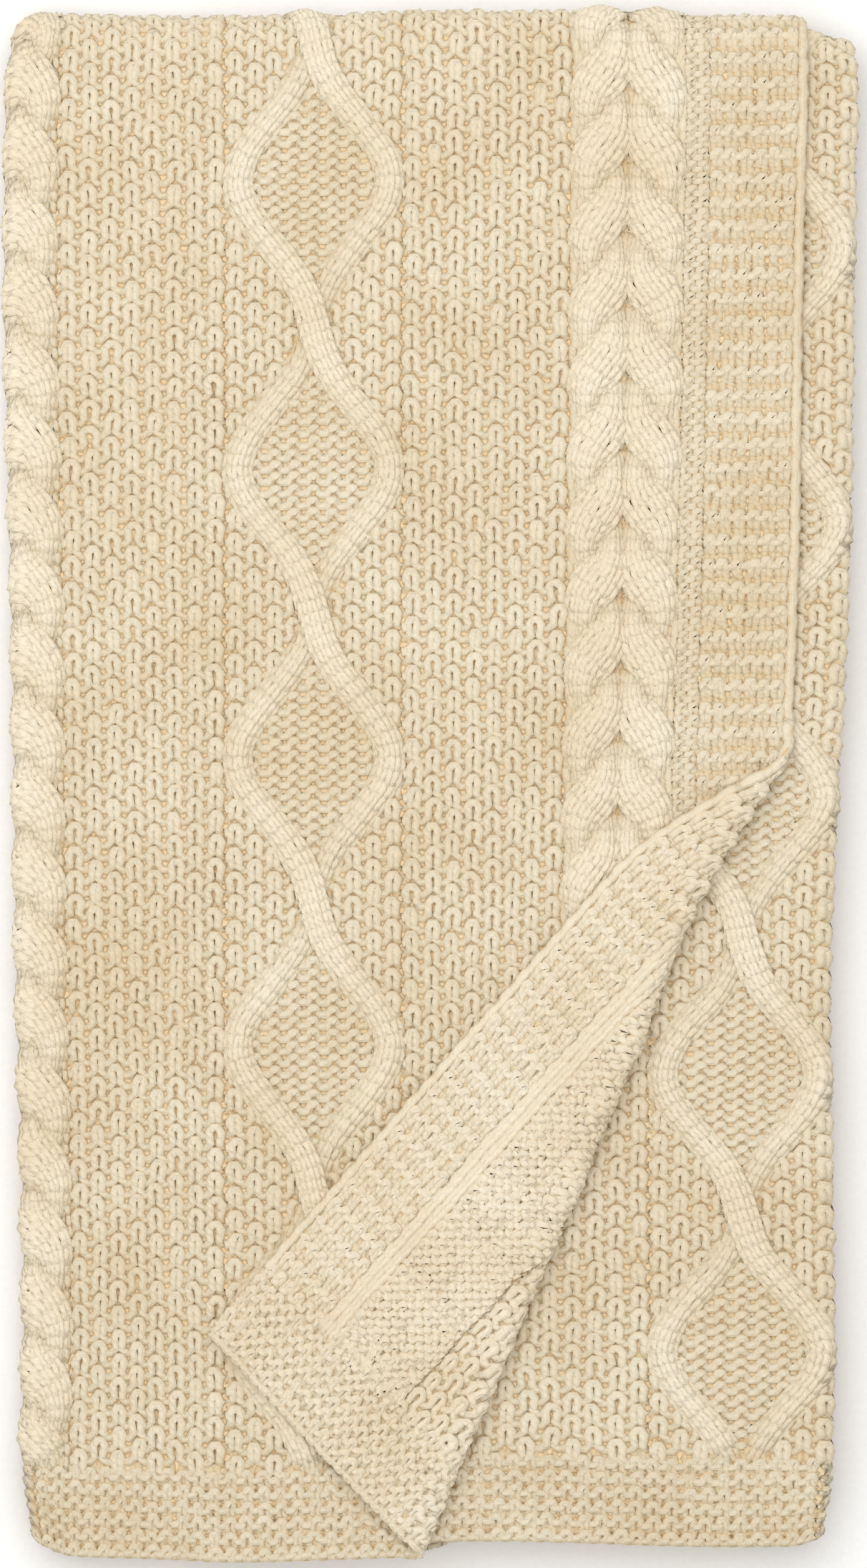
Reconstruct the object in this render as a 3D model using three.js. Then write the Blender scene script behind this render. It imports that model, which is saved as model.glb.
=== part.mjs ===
// Folded cable-knit throw blanket, lying flat. Millimetres, +Z up.
//
// The cloth is folded in thirds like a letter (cover leaf, base leaf, tuck leaf), and the strip
// that this gives is folded in half across its length. Seen from above, the stack is the upper
// half's cover, tuck and base leaves, then the lower half's base, tuck and cover leaves.
// The lower right corner of the top cover leaf is turned back over a diagonal crease.
// X runs across the folds of the thirds, Y runs from the hems up to the half fold.

import * as THREE from 'three';

// Overall size of the folded throw
const FOLDED_WIDTH = 483;
const FOLDED_LENGTH = 876;

// The cloth
const CLOTH = 8.2;
const GAP = 0.3;
const SIDE_BORDER = 55;
const HEM = 52;

// Where the leaves end
const COVER_INSET = 30;
const COVER_TAPER = 31.5;
const TUCK_WIDTH = 336;
const TUCK_EASE = 34;
const BASE_SHORT = 5;
const TUCK_SHORT = 8;
const LEFT_TAPER = 7.5;
const RIGHT_TAPER = 14.5;

// The turned-back corner
const TURN_UP = 535;
const TURN_IN = 200;
const CREASE_BULGE = 10;
const TURNED_EASE = 0.93;
const TURNED_SAG = 0.8;

// The care label, sewn into the lower cover leaf's side edge
const LABEL_LENGTH = 40;
const LABEL_REACH = 24;
const LABEL_THICKNESS = 1.2;
const LABEL_FROM_HEM = 110;
const STITCH = 0.8;

// Values that follow
const PITCH = CLOTH + GAP;
const HALF_WIDTH = FOLDED_WIDTH / 2;
const HALF_LENGTH = FOLDED_LENGTH / 2;
const BEND_REACH = PITCH / 2 + CLOTH / 2;
const FOLD_Y = HALF_LENGTH - (2.5 * PITCH + CLOTH / 2);
const LEAF_TOP = FOLD_Y - GAP;
const COVER_HEM_Y = -HALF_LENGTH;
const BASE_HEM_Y = -HALF_LENGTH + BASE_SHORT;
const TUCK_HEM_Y = -HALF_LENGTH + TUCK_SHORT;
const TUCK_EDGE_X = HALF_WIDTH - RIGHT_TAPER - BEND_REACH - TUCK_WIDTH;
const CREASE_ARC = Math.PI * Math.sqrt((CREASE_BULGE ** 2 + (PITCH / 2) ** 2) / 2);

const UP = 1;
const DOWN = -1;

// How finely the layers are divided
const SLOPED_COLUMNS = 24;
const LEAF_ROWS = 16;
const HEM_ROWS = 2;

const YARN = { color: 0xf3e6c8, roughness: 0.95, metalness: 0 };
const LABEL = { color: 0xf6f3ec, roughness: 0.7, metalness: 0 };

function lerp(a, b, k) {
  return a + (b - a) * k;
}

// Outlines, as functions of the distance along the throw

function leftEdge(y) {
  const drawnIn = THREE.MathUtils.smoothstep(-y, -0.25 * FOLDED_LENGTH, 0.25 * FOLDED_LENGTH);
  return -HALF_WIDTH + LEFT_TAPER * drawnIn;
}

function rightEdge(y) {
  const drawnIn = THREE.MathUtils.smoothstep(-y, -0.4 * FOLDED_LENGTH, 0.2 * FOLDED_LENGTH);
  return HALF_WIDTH - RIGHT_TAPER * drawnIn;
}

function leftBend(y) {
  return leftEdge(y) + BEND_REACH;
}

function rightBend(y) {
  return rightEdge(y) - BEND_REACH;
}

function freeEdge(y) {
  const along = THREE.MathUtils.clamp((HALF_LENGTH - y) / FOLDED_LENGTH, 0, 1);
  return HALF_WIDTH - COVER_INSET - COVER_TAPER * along ** 1.5;
}

// Heights. The stack is the same above and below a middle surface, and the leaves ease down
// to the left of the tuck leaf's free edge, where two layers fewer lie on each other.

function tucked(x) {
  return THREE.MathUtils.smoothstep(x, TUCK_EDGE_X - TUCK_EASE, TUCK_EDGE_X - GAP);
}

function coverLift(x) {
  return PITCH * (1.5 + tucked(x));
}

function baseLift() {
  return 0.5 * PITCH;
}

function tuckLift() {
  return 1.5 * PITCH;
}

function middleZ(x) {
  return CLOTH / 2 + coverLift(x);
}

// The crease line of the turned corner, in the plane of the cover leaf

const CREASE_FOOT = new THREE.Vector2(freeEdge(COVER_HEM_Y) - TURN_IN, COVER_HEM_Y);
const CREASE_HEAD = new THREE.Vector2(freeEdge(COVER_HEM_Y + TURN_UP), COVER_HEM_Y + TURN_UP);
const CREASE_RUN = CREASE_HEAD.clone().sub(CREASE_FOOT).normalize();
const CREASE_OUT = new THREE.Vector2(CREASE_RUN.y, -CREASE_RUN.x);

function creaseX(y) {
  return CREASE_FOOT.x + ((y - CREASE_FOOT.y) * CREASE_RUN.x) / CREASE_RUN.y;
}

// The turned corner bridges most of the slope under it
function turnedDrop(x) {
  const slope = THREE.MathUtils.smoothstep(x, TUCK_EDGE_X - 1.5 * TUCK_EASE, TUCK_EDGE_X - GAP);
  return TURNED_SAG * 2 * PITCH * (1 - slope);
}

// Where a point of the flat cover leaf goes when it is past the crease
function turnedPoint(x, y, w) {
  const flat = new THREE.Vector2(x, y);
  const past = flat.clone().sub(CREASE_FOOT).dot(CREASE_OUT);
  const onCrease = flat.addScaledVector(CREASE_OUT, -past);
  const angle = Math.PI * Math.min(past / CREASE_ARC, 1);
  const back = Math.max(past - CREASE_ARC, 0) * TURNED_EASE;
  const out = (CREASE_BULGE - w * CLOTH) * Math.sin(angle) - back;
  const spot = onCrease.addScaledVector(CREASE_OUT, out);
  const rise = PITCH / 2 - (PITCH / 2 - w * CLOTH) * Math.cos(angle);
  const onCover = CLOTH / 2 + 5 * PITCH - turnedDrop(spot.x);
  return new THREE.Vector3(spot.x, spot.y, onCover + rise);
}

// A closed slab of cloth: a box grid whose corners are put in place by a rule.
// u and v run from 0 to 1 over the cloth, w from -0.5 to 0.5 through it.
function slab(columns, rows, place) {
  const geometry = new THREE.BoxGeometry(1, 1, 1, columns, rows, 1);
  const position = geometry.attributes.position;
  for (let i = 0; i < position.count; i += 1) {
    const u = Math.round((position.getX(i) + 0.5) * columns) / columns;
    const v = Math.round((position.getY(i) + 0.5) * rows) / rows;
    const spot = place(u, v, Math.sign(position.getZ(i)) / 2);
    position.setXYZ(i, spot.x, spot.y, spot.z);
  }
  geometry.computeVertexNormals();
  return geometry;
}

function piece(name, geometry, look = YARN) {
  const mesh = new THREE.Mesh(geometry, new THREE.MeshStandardMaterial(look));
  mesh.name = name;
  return mesh;
}

// One layer lying flat, between a left and a right outline and two distances along the throw
function flatLayer(half, lift, left, right, along, columns, rows) {
  return slab(columns, rows, (u, v, w) => {
    const y = along(v);
    const x = lerp(left(y), right(y), u);
    return new THREE.Vector3(x, y, middleZ(x) + half * lift(x) + w * CLOTH);
  });
}

// The same for a layer that reaches over the tuck leaf's edge: a third of its columns lie to
// the left of the slope there, a third on the slope and a third to the right
function slopedAcross(u, left, right) {
  if (u < 1 / 3) {
    return lerp(left, TUCK_EDGE_X - TUCK_EASE, 3 * u);
  }
  if (u < 2 / 3) {
    return lerp(TUCK_EDGE_X - TUCK_EASE, TUCK_EDGE_X - GAP, 3 * u - 1);
  }
  return lerp(TUCK_EDGE_X - GAP, right, 3 * u - 2);
}

function slopedLayer(half, lift, left, right, along, rows) {
  return slab(SLOPED_COLUMNS, rows, (u, v, w) => {
    const y = along(v);
    const x = slopedAcross(u, left(y), right(y));
    return new THREE.Vector3(x, y, middleZ(x) + half * lift(x) + w * CLOTH);
  });
}

function alongHem(hemY) {
  return (v) => lerp(hemY, hemY + HEM, v);
}

function alongLeaf(hemY) {
  return (v) => lerp(hemY + HEM + GAP, LEAF_TOP, v);
}

// A side fold runs past the hem and the leaf, and has its corners where they have theirs
function alongFold(hemY, v) {
  const share = HEM_ROWS / (HEM_ROWS + LEAF_ROWS);
  if (v < share) {
    return lerp(hemY, hemY + HEM, v / share);
  }
  return lerp(hemY + HEM, LEAF_TOP, (v - share) / (1 - share));
}

// A layer bent back on itself along the side of one half: right is 1 for the right-hand fold
function sideFold(half, bend, right, hemY) {
  return slab(8, HEM_ROWS + LEAF_ROWS, (u, v, w) => {
    const angle = Math.PI * (1 - u);
    const y = alongFold(hemY, v);
    const radius = PITCH / 2 + w * CLOTH;
    const x = bend(y) + right * radius * Math.sin(angle);
    const z = middleZ(bend(y)) + half * PITCH - right * radius * Math.cos(angle);
    return new THREE.Vector3(x, y, z);
  });
}

// A layer going round the half fold at the top of the stack
function topFold(reach, lift, across) {
  return slab(SLOPED_COLUMNS, 10, (u, v, w) => {
    const angle = Math.PI * (1 - v);
    const x = across(u);
    const y = FOLD_Y + (reach + w * CLOTH) * Math.sin(angle);
    return new THREE.Vector3(x, y, middleZ(x) - (lift(x) + w * CLOTH) * Math.cos(angle));
  });
}

// The side fold where it goes round the half fold. outer is the reach of the layer that lies
// outside, and inner that of the base leaf.
function cornerFold(side, bendX, outer, inner) {
  return slab(8, 8, (u, v, w) => {
    const round = Math.PI * (side > 0 ? u : 1 - u);
    const angle = Math.PI * v;
    const across = Math.cos(round);
    const reach = (outer + inner) / 2 - ((outer - inner) / 2 + w * CLOTH) * across;
    const lift = PITCH - (PITCH / 2 + w * CLOTH) * across;
    const x = bendX + side * (PITCH / 2 + w * CLOTH) * Math.sin(round);
    const y = FOLD_Y + reach * Math.sin(angle);
    return new THREE.Vector3(x, y, middleZ(bendX) - lift * Math.cos(angle));
  });
}

// The leaves of one half

function baseLeaf(half) {
  const left = (y) => leftBend(y) + GAP;
  const right = (y) => rightBend(y) - GAP;
  return slopedLayer(half, baseLift, left, right, alongLeaf(BASE_HEM_Y), LEAF_ROWS);
}

function baseHem(half) {
  const left = (y) => leftBend(y) + GAP;
  const right = (y) => rightBend(y) - GAP;
  return slopedLayer(half, baseLift, left, right, alongHem(BASE_HEM_Y), HEM_ROWS);
}

function tuckField() {
  return TUCK_EDGE_X + SIDE_BORDER + GAP;
}

function tuckLeaf(half) {
  const right = (y) => rightBend(y) - GAP;
  return flatLayer(half, tuckLift, tuckField, right, alongLeaf(TUCK_HEM_Y), 6, LEAF_ROWS);
}

function tuckHem(half) {
  const left = () => TUCK_EDGE_X;
  const right = (y) => rightBend(y) - GAP;
  return flatLayer(half, tuckLift, left, right, alongHem(TUCK_HEM_Y), 7, HEM_ROWS);
}

function tuckSideBorder(half) {
  const left = () => TUCK_EDGE_X;
  const right = () => TUCK_EDGE_X + SIDE_BORDER;
  return flatLayer(half, tuckLift, left, right, alongLeaf(TUCK_HEM_Y), 2, LEAF_ROWS);
}

function coverField(y) {
  return freeEdge(y) - SIDE_BORDER - GAP;
}

// The lower half's cover leaf keeps its corner

function lowerCoverLeaf() {
  const left = (y) => leftBend(y) + GAP;
  return slopedLayer(DOWN, coverLift, left, coverField, alongLeaf(COVER_HEM_Y), LEAF_ROWS);
}

function lowerCoverHem() {
  const left = (y) => leftBend(y) + GAP;
  return slopedLayer(DOWN, coverLift, left, freeEdge, alongHem(COVER_HEM_Y), HEM_ROWS);
}

function lowerCoverSideBorder() {
  const left = (y) => freeEdge(y) - SIDE_BORDER;
  return flatLayer(DOWN, coverLift, left, freeEdge, alongLeaf(COVER_HEM_Y), 2, LEAF_ROWS);
}

// The upper half's cover leaf stops at the crease

function upperCoverLeaf() {
  const left = (y) => leftBend(y) + GAP;
  const right = (y) => Math.min(coverField(y), creaseX(y) - GAP);
  const bottom = COVER_HEM_Y + HEM + GAP;
  const bend = heightWhereLeft(SIDE_BORDER, creaseX);
  const along = (v) => (v < 0.5 ? lerp(bottom, bend, 2 * v) : lerp(bend, LEAF_TOP, 2 * v - 1));
  return slopedLayer(UP, coverLift, left, right, along, LEAF_ROWS);
}

function upperCoverHem() {
  const left = (y) => leftBend(y) + GAP;
  const right = (y) => creaseX(y) - GAP;
  return slopedLayer(UP, coverLift, left, right, alongHem(COVER_HEM_Y), HEM_ROWS);
}

// Its side border ends on the crease, so each of its columns starts at its own height
function upperCoverSideBorder() {
  const slope = CREASE_RUN.x / CREASE_RUN.y;
  return slab(4, LEAF_ROWS, (u, v, w) => {
    const fromEdge = SIDE_BORDER * (1 - u);
    let start = CREASE_HEAD.y;
    for (let step = 0; step < 12; step += 1) {
      start -= (creaseX(start) - freeEdge(start) + fromEdge) / slope;
    }
    const y = lerp(start + GAP / slope, LEAF_TOP, v);
    const x = freeEdge(y) - fromEdge;
    return new THREE.Vector3(x, y, middleZ(x) + coverLift(x) + w * CLOTH);
  });
}

// The turned-back corner, laid out row by row on the flat cloth and then turned

function turnedLayer(left, right, bottom, top, columns, rows) {
  return slab(columns, rows, (u, v, w) => {
    const y = lerp(bottom, top, v);
    const x = lerp(left(y), right(y), u);
    return turnedPoint(x, y, w);
  });
}

function bendEnd(y) {
  return creaseX(y) + CREASE_ARC / CREASE_OUT.x;
}

// The height on the flat leaf at which a given width of cloth is left past a line
function heightWhereLeft(width, line) {
  let low = COVER_HEM_Y;
  let high = CREASE_HEAD.y;
  for (let step = 0; step < 40; step += 1) {
    const y = (low + high) / 2;
    const wide = freeEdge(y) - line(y) > width;
    low = wide ? y : low;
    high = wide ? high : y;
  }
  return low;
}

const SMALLEST_STRIP = 6;
const FOOT_RISE = 2;

function cornerCrease() {
  const right = (y) => Math.min(bendEnd(y), freeEdge(y));
  const top = heightWhereLeft(SMALLEST_STRIP, creaseX);
  return turnedLayer(creaseX, right, COVER_HEM_Y + FOOT_RISE, top, 8, 12);
}

function cornerSideBorder() {
  const left = (y) => Math.max(freeEdge(y) - SIDE_BORDER, bendEnd(y) + GAP);
  const top = heightWhereLeft(SMALLEST_STRIP, bendEnd);
  return turnedLayer(left, freeEdge, COVER_HEM_Y + HEM + GAP, top, 8, 32);
}

function cornerField() {
  const left = (y) => bendEnd(y) + GAP;
  const top = heightWhereLeft(SIDE_BORDER + SMALLEST_STRIP, bendEnd);
  return turnedLayer(left, coverField, COVER_HEM_Y + HEM + GAP, top, 14, 20);
}

function cornerHem() {
  const left = (y) => bendEnd(y) + GAP;
  return turnedLayer(left, freeEdge, COVER_HEM_Y, COVER_HEM_Y + HEM, 28, 6);
}

// The care label is a loop of plain woven tape that stands out of the side edge

function careLabel() {
  const from = COVER_HEM_Y + LABEL_FROM_HEM;
  return slab(2, 4, (u, v, w) => {
    const y = lerp(from, from + LABEL_LENGTH, v);
    const x = freeEdge(y) + GAP + u * LABEL_REACH;
    return new THREE.Vector3(x, y, CLOTH / 2 + w * LABEL_THICKNESS);
  });
}

function labelStitching() {
  const from = COVER_HEM_Y + LABEL_FROM_HEM + STITCH;
  const lift = CLOTH / 2 + LABEL_THICKNESS / 2 + GAP + STITCH / 2;
  return slab(1, 4, (u, v, w) => {
    const y = lerp(from, from + LABEL_LENGTH - 2 * STITCH, v);
    const x = freeEdge(y) + GAP + (1 + u) * STITCH;
    return new THREE.Vector3(x, y, lift + w * STITCH);
  });
}

// The four folds and leaves that both halves share
function sharedLayers(prefix, half) {
  const group = new THREE.Group();
  group.add(piece(`${prefix}_base_leaf`, baseLeaf(half)));
  group.add(piece(`${prefix}_base_hem`, baseHem(half)));
  group.add(piece(`${prefix}_tuck_leaf`, tuckLeaf(half)));
  group.add(piece(`${prefix}_tuck_hem`, tuckHem(half)));
  group.add(piece(`${prefix}_tuck_side_border`, tuckSideBorder(half)));
  group.add(piece(`${prefix}_left_fold`, sideFold(half, leftBend, -1, BASE_HEM_Y)));
  group.add(piece(`${prefix}_right_fold`, sideFold(half, rightBend, 1, TUCK_HEM_Y)));
  return group;
}

function lowerHalf() {
  const group = sharedLayers('lower', DOWN);
  group.add(piece('lower_cover_leaf', lowerCoverLeaf()));
  group.add(piece('lower_cover_hem', lowerCoverHem()));
  group.add(piece('lower_cover_side_border', lowerCoverSideBorder()));
  group.add(piece('care_label', careLabel(), LABEL));
  group.add(piece('label_stitching', labelStitching(), LABEL));
  return group;
}

function halfFold() {
  const left = leftBend(HALF_LENGTH);
  const right = rightBend(HALF_LENGTH);
  const group = new THREE.Group();
  const cover = (u) => slopedAcross(u, left + GAP, freeEdge(HALF_LENGTH));
  const base = (u) => slopedAcross(u, left + GAP, right - GAP);
  const tuck = (u) => lerp(TUCK_EDGE_X, right - GAP, u);
  group.add(piece('outer_top_fold', topFold(2.5 * PITCH, coverLift, cover)));
  group.add(piece('middle_top_fold', topFold(1.5 * PITCH, tuckLift, tuck)));
  group.add(piece('inner_top_fold', topFold(0.5 * PITCH, baseLift, base)));
  group.add(piece('left_corner_fold', cornerFold(-1, left, 2.5 * PITCH, 0.5 * PITCH)));
  group.add(piece('right_corner_fold', cornerFold(1, right, 1.5 * PITCH, 0.5 * PITCH)));
  return group;
}

function upperHalf() {
  const group = sharedLayers('upper', UP);
  group.add(piece('upper_cover_leaf', upperCoverLeaf()));
  group.add(piece('upper_cover_hem', upperCoverHem()));
  group.add(piece('upper_cover_side_border', upperCoverSideBorder()));
  return group;
}

function turnedCorner() {
  const group = new THREE.Group();
  group.add(piece('corner_crease', cornerCrease()));
  group.add(piece('corner_side_border', cornerSideBorder()));
  group.add(piece('corner_field', cornerField()));
  group.add(piece('corner_hem', cornerHem()));
  return group;
}

const throwBlanket = new THREE.Group();
throwBlanket.add(lowerHalf());
throwBlanket.add(halfFold());
throwBlanket.add(upperHalf());
throwBlanket.add(turnedCorner());

export default throwBlanket;
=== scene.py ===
import math

import bpy
import numpy as np
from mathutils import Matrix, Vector


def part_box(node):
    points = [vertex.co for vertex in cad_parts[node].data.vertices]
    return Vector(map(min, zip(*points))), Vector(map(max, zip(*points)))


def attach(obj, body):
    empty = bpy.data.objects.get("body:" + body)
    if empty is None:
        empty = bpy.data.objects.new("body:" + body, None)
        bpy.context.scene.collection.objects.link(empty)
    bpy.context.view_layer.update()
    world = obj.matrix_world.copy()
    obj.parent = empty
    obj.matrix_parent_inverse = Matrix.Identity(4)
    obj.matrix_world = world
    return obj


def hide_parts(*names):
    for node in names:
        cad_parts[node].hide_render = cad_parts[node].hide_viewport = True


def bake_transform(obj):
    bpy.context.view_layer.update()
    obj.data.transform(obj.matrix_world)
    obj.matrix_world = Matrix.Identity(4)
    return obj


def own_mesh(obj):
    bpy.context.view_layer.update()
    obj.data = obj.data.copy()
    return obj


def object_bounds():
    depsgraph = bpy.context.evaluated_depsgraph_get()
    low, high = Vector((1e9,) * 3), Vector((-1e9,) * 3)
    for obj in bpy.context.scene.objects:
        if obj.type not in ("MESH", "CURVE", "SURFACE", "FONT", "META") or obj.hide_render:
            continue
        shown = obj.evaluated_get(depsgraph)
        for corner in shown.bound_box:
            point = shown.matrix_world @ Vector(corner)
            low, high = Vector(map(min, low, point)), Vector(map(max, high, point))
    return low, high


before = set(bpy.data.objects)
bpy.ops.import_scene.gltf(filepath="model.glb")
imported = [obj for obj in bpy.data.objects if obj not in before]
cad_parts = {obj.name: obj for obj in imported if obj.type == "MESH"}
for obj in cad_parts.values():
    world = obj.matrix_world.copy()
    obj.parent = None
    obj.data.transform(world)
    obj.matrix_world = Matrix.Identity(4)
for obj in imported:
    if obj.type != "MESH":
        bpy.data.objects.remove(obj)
CAD_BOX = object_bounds()

bl_info = {
    "name": "Folded cable-knit throw",
    "version": (1, 0, 0),
    "blender": (4, 2, 0),
    "location": "View3D > Sidebar > Throw",
    "description": "Knits a chunky cream throw stitch by stitch and folds it",
    "category": "Object",
}

# Lengths are in millimetres and are turned to metres when a mesh is made.
# The knitting is charted on the flat cloth: s runs across it from the cover leaf's
# free edge, t runs along it from hem to hem, and n stands out on the right side.

MM = 0.001

# The folded throw, as the frame has it
FOLDED_WIDTH = (CAD_BOX[1][0] - CAD_BOX[0][0]) / MM
FOLDED_LENGTH = (CAD_BOX[1][1] - CAD_BOX[0][1]) / MM
CLOTH = 8.2
GAP = 0.3
PITCH = CLOTH + GAP
COVER_INSET = 30.0
COVER_TAPER = 31.5
TUCK_WIDTH = 336.0
TUCK_EASE = 34.0
LEFT_TAPER = 7.5
RIGHT_TAPER = 14.5
HALF_WIDTH = FOLDED_WIDTH / 2
HALF_LENGTH = FOLDED_LENGTH / 2
BEND_REACH = PITCH / 2 + CLOTH / 2
FOLD_Y = HALF_LENGTH - (2.5 * PITCH + CLOTH / 2)
COVER_HEM_Y = -HALF_LENGTH
BASE_HEM_Y = -HALF_LENGTH + 5.0
TUCK_HEM_Y = -HALF_LENGTH + 8.0
TUCK_EDGE_X = HALF_WIDTH - RIGHT_TAPER - BEND_REACH - TUCK_WIDTH
COVER_REACH = 2.5 * PITCH
TUCK_REACH = 1.5 * PITCH
BASE_REACH = 0.5 * PITCH
# Rows that go round the half fold more tightly than this stay with their halves
TIGHT_REACH = 8.0
# How far under the cover leaf the tuck leaf can still be seen
SHOWS_UNDER = 24.0

# The turned-back corner
TURN_UP = 535.0
TURN_IN = 200.0
CREASE_BULGE = 10.0
TURNED_EASE = 0.93
TURNED_SAG = 0.8
LATE_TURN = 20.0
CREASE_ARC = math.pi * math.sqrt((CREASE_BULGE**2 + (PITCH / 2) ** 2) / 2)

# The flat cloth and its chart, across
COVER_WIDE = 446.0
BEND = math.pi * PITCH / 2
BASE_WIDE = 474.0
BASE_FROM = COVER_WIDE + BEND
BASE_TO = BASE_FROM + BASE_WIDE
TUCK_FROM = BASE_TO + BEND
CLOTH_WIDE = 1270.0
HALF_CUT = 889.0
SIDE_BORDER = 55.0
GUTTER = 14.0
HEM = 52.0
SELVEDGE = 4.6
HORSESHOES = (101.5, 457.75, 812.25, 1168.5)
DIAMONDS = (280.5, 635.0, 989.5)
HORSESHOE_WIDE = 65.0
DIAMOND_WIDE = 100.0
DIAMOND_PERIOD = {280.5: (127.0, 164.2), 635.0: (127.0, 164.2), 989.5: (113.0, 161.0)}

# How far the ropes of a diamond swing out from its middle
DIAMOND_SWING = 43.0

# On the cover leaf the pattern hangs straight between these two lines of the chart
STRAIGHT_FROM = 230.0
STRAIGHT_TO = 340.0

# Knitting
ROW = 6.86
HEM_ROW = 4.4
HEM_STITCH = 9.5


def smooth(x, start, end):
    k = np.clip((x - start) / (end - start), 0, 1)
    return k * k * (3 - 2 * k)


# How the flat cloth is folded


def left_bend(y):
    drawn_in = smooth(-y, -0.25 * FOLDED_LENGTH, 0.25 * FOLDED_LENGTH)
    return -HALF_WIDTH + LEFT_TAPER * drawn_in + BEND_REACH


def right_bend(y):
    drawn_in = smooth(-y, -0.4 * FOLDED_LENGTH, 0.2 * FOLDED_LENGTH)
    return HALF_WIDTH - RIGHT_TAPER * drawn_in - BEND_REACH


def free_edge(y):
    along = np.clip((HALF_LENGTH - y) / FOLDED_LENGTH, 0, 1)
    return HALF_WIDTH - COVER_INSET - COVER_TAPER * along**1.5


def tucked(x):
    return smooth(x, TUCK_EDGE_X - TUCK_EASE, TUCK_EDGE_X - GAP)


CREASE_FOOT = np.array([float(free_edge(COVER_HEM_Y)) - TURN_IN, COVER_HEM_Y])
CREASE_HEAD = np.array(
    [float(free_edge(COVER_HEM_Y + TURN_UP)), COVER_HEM_Y + TURN_UP]
)
CREASE_RUN = (CREASE_HEAD - CREASE_FOOT) / np.linalg.norm(CREASE_HEAD - CREASE_FOOT)
CREASE_OUT = np.array([CREASE_RUN[1], -CREASE_RUN[0]])


def late_turn(y):
    """Near its upper end the side edge stays down a little longer before it turns."""
    return LATE_TURN * smooth(y, -90.0, 60.0)


def turned_drop(x):
    slope = smooth(x, TUCK_EDGE_X - 1.5 * TUCK_EASE, TUCK_EDGE_X - GAP)
    return TURNED_SAG * 2 * PITCH * (1 - slope)


def cover_x(s, y):
    """Across the cover leaf the pattern hangs straight, and its edges draw in."""
    left, top = left_bend(y), -HALF_WIDTH + BEND_REACH
    beside = COVER_WIDE - STRAIGHT_TO
    drawn_left = left + (COVER_WIDE - s) * (top + beside - left) / beside
    x = np.where(s > STRAIGHT_TO, drawn_left, top + COVER_WIDE - s)
    inner = top + COVER_WIDE - STRAIGHT_FROM
    drawn_right = inner + (STRAIGHT_FROM - s) * (free_edge(y) - inner) / STRAIGHT_FROM
    return np.where(s < STRAIGHT_FROM, drawn_right, x)


def side_bend(s):
    """Which side a point folds over to, how far it has gone round that side's bend,
    and the radius with which its row goes round the half fold."""
    on_left = s < (BASE_FROM + BASE_TO) / 2
    turn = np.where(on_left, (BASE_FROM - s) / BEND, (s - BASE_TO) / BEND)
    turn = math.pi * np.clip(turn, 0, 1)
    outer = np.where(on_left, COVER_REACH, TUCK_REACH)
    reach = (outer + BASE_REACH) / 2 - (outer - BASE_REACH) / 2 * np.cos(turn)
    return on_left, turn, reach


def past_crease(s, x, y, lower):
    """How far a point lies beyond the crease, and whether it is turned back with it."""
    past = (x - CREASE_FOOT[0]) * CREASE_OUT[0] + (y - CREASE_FOOT[1]) * CREASE_OUT[1]
    past = past - late_turn(y)
    return past, (past > 0) & (s < COVER_WIDE) & ~lower & (y < CREASE_HEAD[1])


def fold(s, t, n, flat_corner=False):
    """Where a point of the flat cloth lies when the throw is folded."""
    lower = t > HALF_CUT
    along = np.where(lower, 2 * HALF_CUT - t, t)
    half = np.where(lower, -1.0, 1.0)
    on_left, turn, reach = side_bend(s)
    across = np.cos(turn)
    outer_hem = np.where(on_left, COVER_HEM_Y, TUCK_HEM_Y)
    hem = (BASE_HEM_Y + outer_hem) / 2 - (outer_hem - BASE_HEM_Y) / 2 * across
    leaf = HALF_CUT - math.pi * reach / 2
    y = hem + np.minimum(along, leaf) * (FOLD_Y - hem) / leaf
    angle = np.clip((along - leaf) / reach, 0, math.pi / 2)
    left, right = left_bend(y), right_bend(y)
    base = left + (s - BASE_FROM) / BASE_WIDE * (right - left)
    tuck = right + (s - TUCK_FROM) / (CLOTH_WIDE - TUCK_FROM) * (TUCK_EDGE_X - right)
    bend = np.where(on_left, left, right)
    side = np.where(on_left, -1.0, 1.0)
    x = bend + side * (PITCH / 2 + n) * np.sin(turn)
    x = np.where((s > BASE_FROM) & (s < BASE_TO), base, x)
    x = np.where(s > TUCK_FROM, tuck, x)
    x = np.where(s < COVER_WIDE, cover_x(s, y), x)
    lift = PITCH - (PITCH / 2 + n) * across
    lift = lift + np.where(s < COVER_WIDE, PITCH * tucked(x), 0)
    middle = CLOTH / 2 + PITCH * (1.5 + tucked(x))
    y = y + (reach - n * across) * np.sin(angle)
    z = middle + half * lift * np.cos(angle)
    if flat_corner:
        return x, y, z
    past, turned = past_crease(s, x, y, lower)
    roll = math.pi * np.clip(past / CREASE_ARC, 0, 1)
    back = np.maximum(past - CREASE_ARC, 0) * TURNED_EASE
    out = (CREASE_BULGE - n) * np.sin(roll) - back
    x = np.where(turned, x + (out - past) * CREASE_OUT[0], x)
    y = np.where(turned, y + (out - past) * CREASE_OUT[1], y)
    rise = PITCH / 2 - (PITCH / 2 - n) * np.cos(roll)
    z = np.where(turned, CLOTH / 2 + 5 * PITCH - turned_drop(x) + rise, z)
    x, y = settle(x, y, z)
    return x, y, z


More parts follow.
